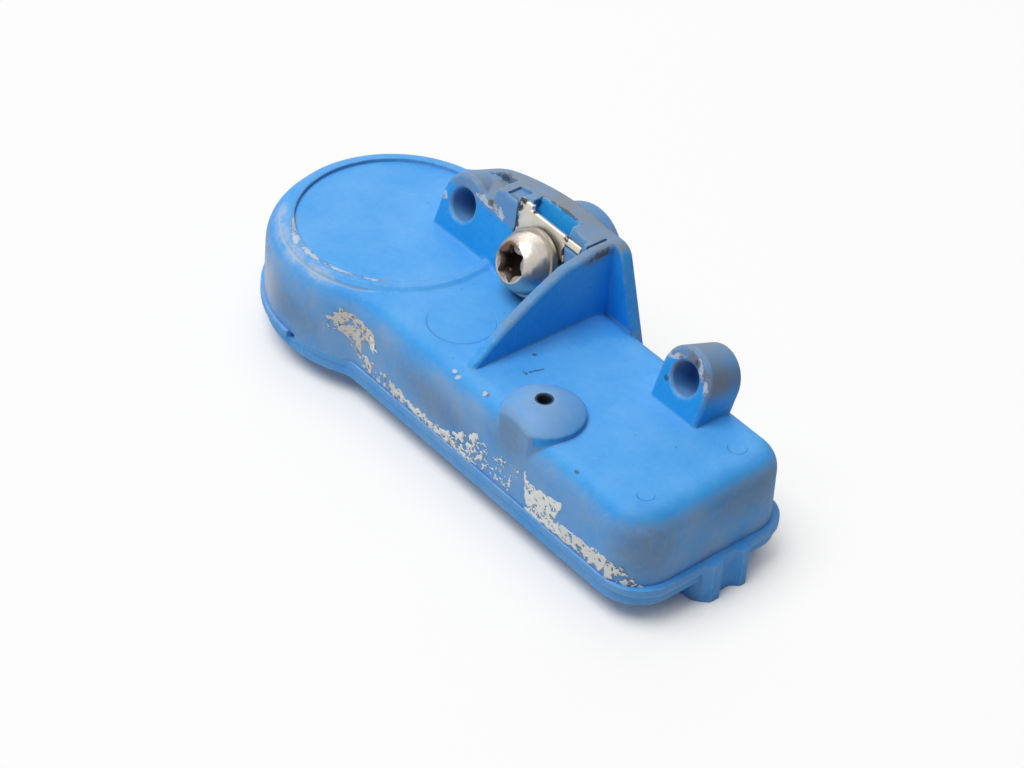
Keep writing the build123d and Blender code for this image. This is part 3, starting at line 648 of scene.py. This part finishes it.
def screwMaterial(s):
    # Nickel-plated steel, turned and worn: bright but brushed by handling, brown rust where the plating
    # has gone round the drive, and painted shade, near black, down in the recess and in the gap behind the
    # collar.
    material, tree, shader, coords = startMaterial("nickel_plated_steel_worn")
    origin, head = (tuple(v) for v in valveAxis(s))
    size, detail, rough = s["wear"]
    wear = addNode(tree, "TexNoise", {
        "Vector": coords, "Scale": perMetre(size), "Detail": detail, "Roughness": rough,
    }, "Fac")

    # place on the screw: height along its axis, distance from it, and how far up and left
    out = addNode(tree, "VectorMath", (coords, origin), operation="SUBTRACT")
    along = addNode(tree, "VectorMath", (out, head), "Value", operation="DOT_PRODUCT")
    foot = addNode(tree, "VectorMath", {0: head, "Scale": along}, operation="SCALE")
    away = addNode(tree, "VectorMath", (out, foot), "Value", operation="DISTANCE")
    sides = addNode(tree, "SeparateXYZ", (out,), None).outputs
    upLeft = addNode(tree, "Math", (sides[0], s["upLean"], sides[2]), operation="MULTIPLY_ADD")

    onCollar = addNode(tree, "MapRange", (along, *metres(s["collarBand"]), 0, s["collarShare"]))
    inRecess = addNode(tree, "MapRange", (away, *metres(s["recessBand"])), **smooth)
    depth = addNode(tree, "MapRange", (along, *metres(s["depthBand"])), **smooth)
    onHead = addNode(tree, "MapRange", (along, *metres(s["headBand"])))
    nearRim = addNode(tree, "MapRange", (away, *metres(s["rimBand"])), **smooth)
    topPart = addNode(tree, "MapRange", (upLeft, *metres(s["upBand"])))
    behind = addNode(tree, "MapRange", (along, *metres(s["gapBand"]), 0, s["gapShare"]), **smooth)
    inGap = addNode(tree, "Math", (along, s["gapEnd"] * mm), operation="GREATER_THAN")
    # painted shade: the recess darkens towards its floor and the gap behind the collar turns near black
    marks = {"hollowShade": (inRecess, depth, onHead), "rim": (nearRim, topPart, onHead),
             "brown": (inRecess, onHead, wear), "gap": (behind, inGap)}
    for name, (share, *limits) in marks.items():
        for limit in limits:
            share = addNode(tree, "Math", (share, limit), operation="MULTIPLY")
        marks[name] = share
    rusty = addNode(tree, "Math", (marks["rim"], wear), operation="ADD")
    rusty = addNode(tree, "MapRange", (rusty, *s["rusty"]), **smooth)
    rusty = addNode(tree, "Math", (rusty, marks["brown"]), operation="MAXIMUM")
    colour = layOver(tree, linearColour(s["nickel"]), (
        (wear, s["nickelDull"]), (onCollar, s["collarTone"]), (rusty, s["rust"]),
        (marks["hollowShade"], s["shadeBlack"]), (marks["gap"], s["shadeBlack"]),
    ))
    covered = rusty
    for share in (marks["hollowShade"], marks["gap"]):
        covered = addNode(tree, "Math", (covered, share), operation="MAXIMUM")
    metal = addNode(tree, "MapRange", (covered, 0, 1, *s["metal"]))
    gloss = addNode(tree, "MapRange", (wear, *s["gloss"]))
    gloss = addNode(tree, "Math", (gloss, covered), operation="MAXIMUM", use_clamp=True)
    finishSurface(tree, shader, colour, metal, gloss, wear, s["bump"])
    return material


makeScrew(screw, screwMaterial(screw))
print("screw made")


# steel clip behind the screw

clip = {
    "edge": 0.16, "segments": 3,       # mm, rounding of the stamped edges
    "flat": 1, "sharp": 40,            # degrees, what counts as flat and as an edge
    # the dark brown is dirt, and also painted shade in the corners
    "steel": "#e4dfd3", "steelDull": "#c0b9ac", "dirtAndShade": "#2a241c",
    "stain": (1.3, 7.0, 0.66),         # mm, detail, roughness
    "hollow": 1.1, "hollowSamples": 6,   # mm, how near something stands in a corner
    "corners": (1.02, 0.70, 0.0, 0.9),
    "torn": (0.32, 0.68, 0.1, 1.5), "fade": (0.30, 0.48),
    "metal": (1.0, 0.2), "gloss": (0.28, 0.62),   # bare and dirty, bright and dull
    "bump": (0.04, 0.7),               # mm, strength
    # caked dirt: centre mm, radii mm, turn degrees
    "caked": (
        ((-6.75, 5.2, 19.0), (0.75, 0.7, 2.4), (-20, 0, 0)),
        ((-6.5, 5.7, 20.2), (0.8, 0.5, 0.5), (0, 0, 0)),
        ((-4.7, 5.9, 20.1), (0.4, 0.4, 0.35), (0, 0, 0)),
        ((0.5, 5.7, 19.9), (0.9, 0.6, 0.5), (0, 0, 0)),
        ((0.85, 4.9, 18.3), (0.5, 0.5, 1.2), (-20, 0, 0)),
    ),
}


def clipMaterial(c):
    # Stamped stainless steel, dull with handling: warm grey with brown stains and painted shade in its
    # corners, and caked dirt in places.
    material, tree, shader, coords = startMaterial("stamped_steel_stained")
    size, detail, rough = c["stain"]
    stain = addNode(tree, "TexNoise", {
        "Vector": coords, "Scale": perMetre(size), "Detail": detail, "Roughness": rough,
    }, "Fac")
    # painted shade: where something stands close the colour turns dark brown, mixed with the stain pattern
    hollow = addNode(tree, "AmbientOcclusion", {"Distance": c["hollow"] * mm}, "AO",
                     samples=c["hollowSamples"])
    dirtyAndShaded = addNode(tree, "Math", (hollow, stain), operation="ADD")
    dirtyAndShaded = addNode(tree, "MapRange", (dirtyAndShaded, *c["corners"]), **smooth)
    ragged = addNode(tree, "MapRange", (stain, *c["torn"]))
    clods = spotGroup(tree, coords, ragged, c["caked"], c["fade"])
    dirtyAndShaded = addNode(tree, "Math", (dirtyAndShaded, clods), operation="MAXIMUM")
    colour = layOver(tree, linearColour(c["steel"]), ((stain, c["steelDull"]), (dirtyAndShaded, c["dirtAndShade"])))
    metal = addNode(tree, "MapRange", (dirtyAndShaded, 0, 1, *c["metal"]))
    gloss = addNode(tree, "MapRange", (stain, 0, 1, *c["gloss"]))
    finishSurface(tree, shader, colour, metal, gloss, stain, c["bump"])
    return material


def makeClip(c, material):
    # the plate's own outline with its stamped edges rounded
    merged = bmesh.new()
    merged.from_mesh(cadNodes["valve_clip"].data)
    bmesh.ops.remove_doubles(merged, verts=merged.verts, dist=mergeGap)
    bmesh.ops.dissolve_limit(
        merged, angle_limit=np.radians(c["flat"]), verts=merged.verts, edges=merged.edges)
    mesh = bpy.data.meshes.new("valve_clip_stamped")
    merged.to_mesh(mesh)
    merged.free()
    mesh.materials.append(material)
    mesh.polygons.foreach_set("use_smooth", np.ones(len(mesh.polygons), bool))
    piece = newObject("valve_clip_stamped", mesh)
    rounding = piece.modifiers.new("stamped edges", "BEVEL")
    rounding.width = c["edge"] * mm
    rounding.segments = c["segments"]
    rounding.limit_method = "ANGLE"
    rounding.angle_limit = np.radians(c["sharp"])
    rounding.harden_normals = True
    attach(piece, bodyName)
    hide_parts("valve_clip")


makeClip(clip, clipMaterial(clip))
print("clip made")


# torn label residue on the front wall

residue = {
    "wallY": -11.25, "wallFoot": 4.45, "draft": 1.0,     # mm, mm, degrees: the front wall
    "dome": (-18.949, 13.55, -12.15),                    # its dome arc: centre, radius and end
    "waist": (-10.4, -14.75, 3.5),                       # its hollow arc: centre and radius
    "cornerX": 27.2, "cornerRadius": 4.5,                # the rounded front corner
    "cell": 0.09, "margin": 0.4,                         # mm, the grid and how far it goes past an outline
    "lift": 0.055, "thickness": 0.07,                    # mm, the paper
    "waves": (0.35, 0.02), "warp": (0.5, 0.9),           # mm long and high, mm long and tears deep
    "tearMix": (0.6, 0.4, 3),                            # large tears, small tears, how much smaller
    "seed": (20, 10), "sharp": 60,                       # first flake and step to the next; degrees
    # outline along the wall and up (mm), share of it left, size of the tears, tone from white 0 to brown 1
    "flakes": (
        (((-14.2, 9.1), (-12.5, 10.4), (-10.9, 10.3), (-9.2, 9.9), (-7.9, 9.7), (-7.7, 8.0), (-9.2, 8.2),
          (-10.1, 7.9), (-9.8, 6.1), (-11.4, 7.1), (-12.6, 7.8), (-13.8, 7.8)), 0.68, 0.5, 0.6),
        (((-8.9, 9.3), (-8.1, 9.4), (-7.5, 7.9), (-8.2, 7.7)), 1.0, 0.5, 0.0),
        (((-11.4, 6.8), (-9.4, 6.4), (-3.2, 5.9), (-2.4, 4.5), (-5.2, 4.6), (-9.6, 5.0)), 0.45, 0.5, 0.45),
        (((-4.4, 5.5), (3.4, 5.4), (8.2, 4.9), (8.2, 4.46), (-3.2, 4.46)), 0.60, 0.45, 0.15),
        (((2.8, 5.3), (5.2, 6.6), (8.6, 8.7), (10.1, 7.4), (10.3, 5.0), (7.0, 4.5),
          (4.1, 4.5)), 0.40, 0.42, 0.05),
        (((9.6, 4.9), (13.6, 5.0), (14.8, 8.1), (11.6, 8.3)), 0.13, 0.35, 0.1),
        (((15.6, 9.0), (16.5, 7.7), (18.1, 8.0), (21.0, 8.6), (20.6, 6.6), (21.6, 4.8), (19.2, 4.5),
          (16.1, 4.5)), 0.84, 0.5, 0.05),
        (((21.0, 6.2), (24.7, 6.4), (27.6, 6.8), (29.4, 6.4), (30.8, 5.5), (31.7, 4.46), (27.7, 4.46),
          (25.2, 4.7), (21.6, 4.8)), 0.68, 0.6, 0.3),
    ),
    "paper": "#e9ebea", "stain": "#b6aba1", "fleckTone": "#5a626c", "roughness": 0.85,
    "fibre": (0.8, 6.0, 0.7), "fleck": (0.55, 2.0),      # mm, detail, roughness
    "soakBase": 0.5, "soak": (0.12, 0.75), "flecked": (0.60, 0.66, 0.0, 0.75),
    "bump": (0.05, 0.6),                                 # mm, strength
}


def wallPoint(r, along, up, lift):
    # seen from above: dome arc, hollow waist arc, straight run and an arc round the corner, all of them
    # leaning in with the draft
    inward = (up - r["wallFoot"]) * np.tan(np.radians(r["draft"])) - lift
    domeX, domeR, domeEnd = r["dome"]
    waistX, waistY, waistR = r["waist"]
    turn = np.clip((along - r["cornerX"]) / r["cornerRadius"], 0, None)
    reach = r["cornerRadius"] - inward
    x = np.minimum(along, r["cornerX"]) + reach * np.sin(turn)
    dome = -np.sqrt(np.clip((domeR - inward) ** 2 - (along - domeX) ** 2, 0, None))
    waist = waistY + np.sqrt(np.clip((waistR + inward) ** 2 - (along - waistX) ** 2, 0, None))
    run = r["wallY"] + r["cornerRadius"] - reach * np.cos(turn)
    y = np.select([along < domeEnd, along < waistX], [dome, waist], run)
    return np.stack([x, y, up], -1) * mm


def insideOutline(u, v, outline):
    # even-odd rule: a point is inside where a level line crosses the outline an odd number of times
    inside = np.zeros(u.shape, bool)
    for (x0, y0), (x1, y1) in zip(outline, outline[1:] + outline[:1]):
        crosses = (y0 > v) != (y1 > v)
        inside ^= crosses & (u < (x1 - x0) * (v - y0) / (y1 - y0 + 1e-12) + x0)   # never a division by 0
    return inside


def flakeSurface(r, flake, seed):
    # grid over the outline's box; a quad stays where a warped copy of its centre is inside the outline
    # and a two-scale noise is under the share that is left
    outline, share, tear, tone = flake
    cell = r["cell"]
    low, high = np.min(outline, 0) - r["margin"], np.max(outline, 0) + r["margin"]
    cols, rows = np.ceil((high - low) / cell).astype(int) + 1
    u, v = np.meshgrid(low[0] + cell * np.arange(cols), low[1] + cell * np.arange(rows))
    waveLong, waveHigh = r["waves"]
    wave = (latticeNoise(u, v, waveLong, seed + 3) - 0.5) * waveHigh
    points = wallPoint(r, u, np.maximum(v, r["wallFoot"]), r["lift"] + wave).reshape(-1, 3)
    cu, cv = u[:-1, :-1] + cell / 2, v[:-1, :-1] + cell / 2
    warpLong, warpDeep = r["warp"]
    warpU = cu + (latticeNoise(cu, cv, warpLong, seed) - 0.5) * warpDeep * tear
    warpV = cv + (latticeNoise(cu, cv, warpLong, seed + 1) - 0.5) * warpDeep * tear
    large, small, finer = r["tearMix"]
    torn = large * latticeNoise(cu, cv, tear, seed + 2) + small * latticeNoise(cu, cv, tear / finer, seed + 4)
    level = np.quantile(torn, share)
    keep = insideOutline(warpU, warpV, outline) & (torn <= level) & (cv > r["wallFoot"])
    faces = gridFaces(rows, cols, False)[keep.ravel()]
    used, faces = np.unique(faces, return_inverse=True)
    return points[used], faces.reshape(-1, 4), np.full(len(used), tone)


def residueMaterial(r):
    # Torn label paper and dried glue: matt off-white fibre, stained brown in places, with grey flecks.
    material, tree, shader, coords = startMaterial("torn_label_paper")
    tone = addNode(tree, "Attribute", give="Fac", attribute_name="tone")
    size, detail, rough = r["fibre"]
    fibre = addNode(tree, "TexNoise", {
        "Vector": coords, "Scale": perMetre(size), "Detail": detail, "Roughness": rough,
    }, "Fac")
    soak = addNode(tree, "Math", (fibre, tone, r["soakBase"]), operation="MULTIPLY_ADD")
    soak = addNode(tree, "MapRange", (soak, *r["soak"]), **smooth)
    soaked = addNode(tree, "Math", (tone, soak), operation="MULTIPLY")
    size, detail = r["fleck"]
    fleck = addNode(tree, "TexNoise", {"Vector": coords, "Scale": perMetre(size), "Detail": detail}, "Fac")
    flecked = addNode(tree, "MapRange", (fleck, *r["flecked"]))
    colour = layOver(tree, linearColour(r["paper"]), ((soaked, r["stain"]), (flecked, r["fleckTone"])))
    finishSurface(tree, shader, colour, 0.0, r["roughness"], fibre, r["bump"])
    return material


def makeResidue(r, material):
    # all flakes in one mesh, each point with its flake's tone, thickened towards the wall
    first, step = r["seed"]
    parts = [flakeSurface(r, flake, first + step * i) for i, flake in enumerate(r["flakes"])]
    starts = np.cumsum([0] + [len(part[0]) for part in parts[:-1]])
    points = np.concatenate([part[0] for part in parts])
    faces = np.concatenate([part[1] + start for part, start in zip(parts, starts)])
    piece = placePiece("label_residue", points, faces, material, r["sharp"])
    tones = piece.data.attributes.new("tone", "FLOAT", "POINT")
    tones.data.foreach_set("value", np.concatenate([part[2] for part in parts]).astype(np.float32))
    body = piece.modifiers.new("paper", "SOLIDIFY")
    body.thickness = r["thickness"] * mm
    body.offset = -1


makeResidue(residue, residueMaterial(residue))
print("label residue made")


# pieces inside the closed housing

inner = {
    "detail": 4.0, "bump": (0.02, 0.5),   # of the grain: rise mm, strength
    # finish: two colours, grain mm, metallic, roughness, and the nodes that have it
    "finishes": {
        "glass_epoxy_green_mask": ("#0d4a26", "#14592f", 0.8, 0.0, 0.42, ("circuit_board",)),
        "nickel_plated_can": ("#c6c5c0", "#adaba5", 1.5, 1.0, 0.32, ("coin_cell",)),
        "nickel_strip": ("#c2beb4", "#a8a498", 0.9, 1.0, 0.36, ("cell_top_tab", "cell_bottom_tab")),
        "moulded_epoxy_black": (
            "#1b1b1d", "#232326", 0.3, 0.0, 0.6, ("pressure_chip", "controller_chip", "transmitter_chip")),
        "drawn_steel_lid": ("#c9c6be", "#b3afa5", 0.7, 1.0, 0.34, ("pressure_chip_lid",)),
        "silicone_rubber_black": ("#161617", "#1f1f21", 0.4, 0.0, 0.75, ("port_seal",)),
        "plated_can": ("#cdc9c0", "#b5b0a6", 0.8, 1.0, 0.28, ("crystal",)),
        "sintered_ferrite": ("#26272a", "#323338", 0.25, 0.0, 0.55, ("coil_core",)),
        "enamelled_copper": ("#a4552a", "#7f3d1b", 0.12, 1.0, 0.35, ("coil_winding",)),
        "tinned_brass": ("#c0a25e", "#a98a48", 1.0, 1.0, 0.34, ("antenna_strip",)),
        "fired_ceramic_tan": ("#a88764", "#94744f", 0.4, 0.0, 0.55, ("chip_capacitors",)),
        "fired_ceramic_black": ("#1f2022", "#2b2c2f", 0.4, 0.0, 0.5, ("chip_resistors",)),
        "pressed_ferrite": ("#34353a", "#424349", 0.3, 0.0, 0.6, ("chip_inductors",)),
    },
}


def innerMaterial(name, colourA, colourB, grainMm, metallic, roughness):
    # two close tones in a grain of the material's own size
    material, tree, shader, coords = startMaterial(name)
    grain = addNode(tree, "TexNoise", {
        "Vector": coords, "Scale": perMetre(grainMm), "Detail": inner["detail"],
    }, "Fac")
    colour = layOver(tree, linearColour(colourA), [(grain, colourB)])
    finishSurface(tree, shader, colour, metallic, roughness, grain, inner["bump"])
    return material


for finish, (*values, nodes) in inner["finishes"].items():
    finished = innerMaterial(finish, *values)
    for node in nodes:
        dressNode(node, finished)
print("inner pieces finished")


# floor and light

stage = {
    "floor": "#f9f9f8", "floorSize": 3.0,            # m
    "roughness": 0.9, "specular": 0.1,
    "contact": 0.007, "contactSamples": 4,           # m, how near the object stands over its darkest shadow
    "lift": (0.3, 1.0, 0.0, 0.80),                   # from close under the object to open floor
    "sky": "#ffffff", "skyLevel": (0.12, 1.0),       # as light, and where it is seen
    # lamps: place (m), size (m), power (W)
    "lamps": (
        ("key", (-0.14, -0.30, 0.83), 0.7, 6.7),
        ("window", (-0.52, 0.50, 0.58), 0.9, 2.0),
    ),
}


def seenRays(tree):
    # 1 for rays from the camera, a reflection or glass, 0 for the light that falls on things
    ray = addNode(tree, "LightPath", give=None).outputs
    seen = ray["Is Camera Ray"]
    for kind in ("Is Glossy Ray", "Is Transmission Ray"):
        seen = addNode(tree, "Math", (seen, ray[kind]), operation="MAXIMUM")
    return seen


def makeFloor(s):
    # one square of white card; where it is seen it is lifted towards white, least where the object stands
    # close over it
    mesh = bpy.data.meshes.new("floor")
    half = s["floorSize"] / 2
    corners = np.array([(-half, -half, 0), (half, -half, 0), (half, half, 0), (-half, half, 0)])
    mesh.from_pydata(corners.tolist(), [], [(0, 1, 2, 3)])
    floor = newObject("floor", mesh)
    material, tree, shader, _ = startMaterial("white_card")
    feed(tree, shader, {
        "Base Color": linearColour(s["floor"]), "Roughness": s["roughness"],
        "Specular IOR Level": s["specular"],
    })
    near = addNode(tree, "AmbientOcclusion", {"Distance": s["contact"]}, "AO", samples=s["contactSamples"])
    lift = addNode(tree, "MapRange", (near, *s["lift"]))
    lift = addNode(tree, "Math", (seenRays(tree), lift), operation="MULTIPLY")
    white = addNode(tree, "Emission", {"Color": linearColour(s["sky"]), "Strength": 1.0})
    card = addNode(tree, "MixShader", (lift, shader.outputs[0], white))
    feed(tree, tree.nodes["Material Output"], {"Surface": card})
    mesh.materials.append(material)


def makeLight(s):
    # the white room is seen at full level and lights the object softly, and the lamps look at its middle
    world = bpy.data.worlds.new("studio")
    world.use_nodes = True
    tree = world.node_tree
    level = addNode(tree, "MapRange", (seenRays(tree), 0, 1, *s["skyLevel"]))
    feed(tree, tree.nodes["Background"], (linearColour(s["sky"]), level))
    bpy.context.scene.world = world
    for name, place, size, power in s["lamps"]:
        data = bpy.data.lights.new(name, "AREA")
        data.shape = "DISK"
        data.size = size
        data.energy = power
        lamp = newObject(name, data)
        lamp.location = place
        lamp.rotation_euler = (-Vector(place)).to_track_quat("-Z", "Y").to_euler()


makeFloor(stage)
makeLight(stage)
bpy.context.scene.view_settings.view_transform = "Standard"
print("stage set")
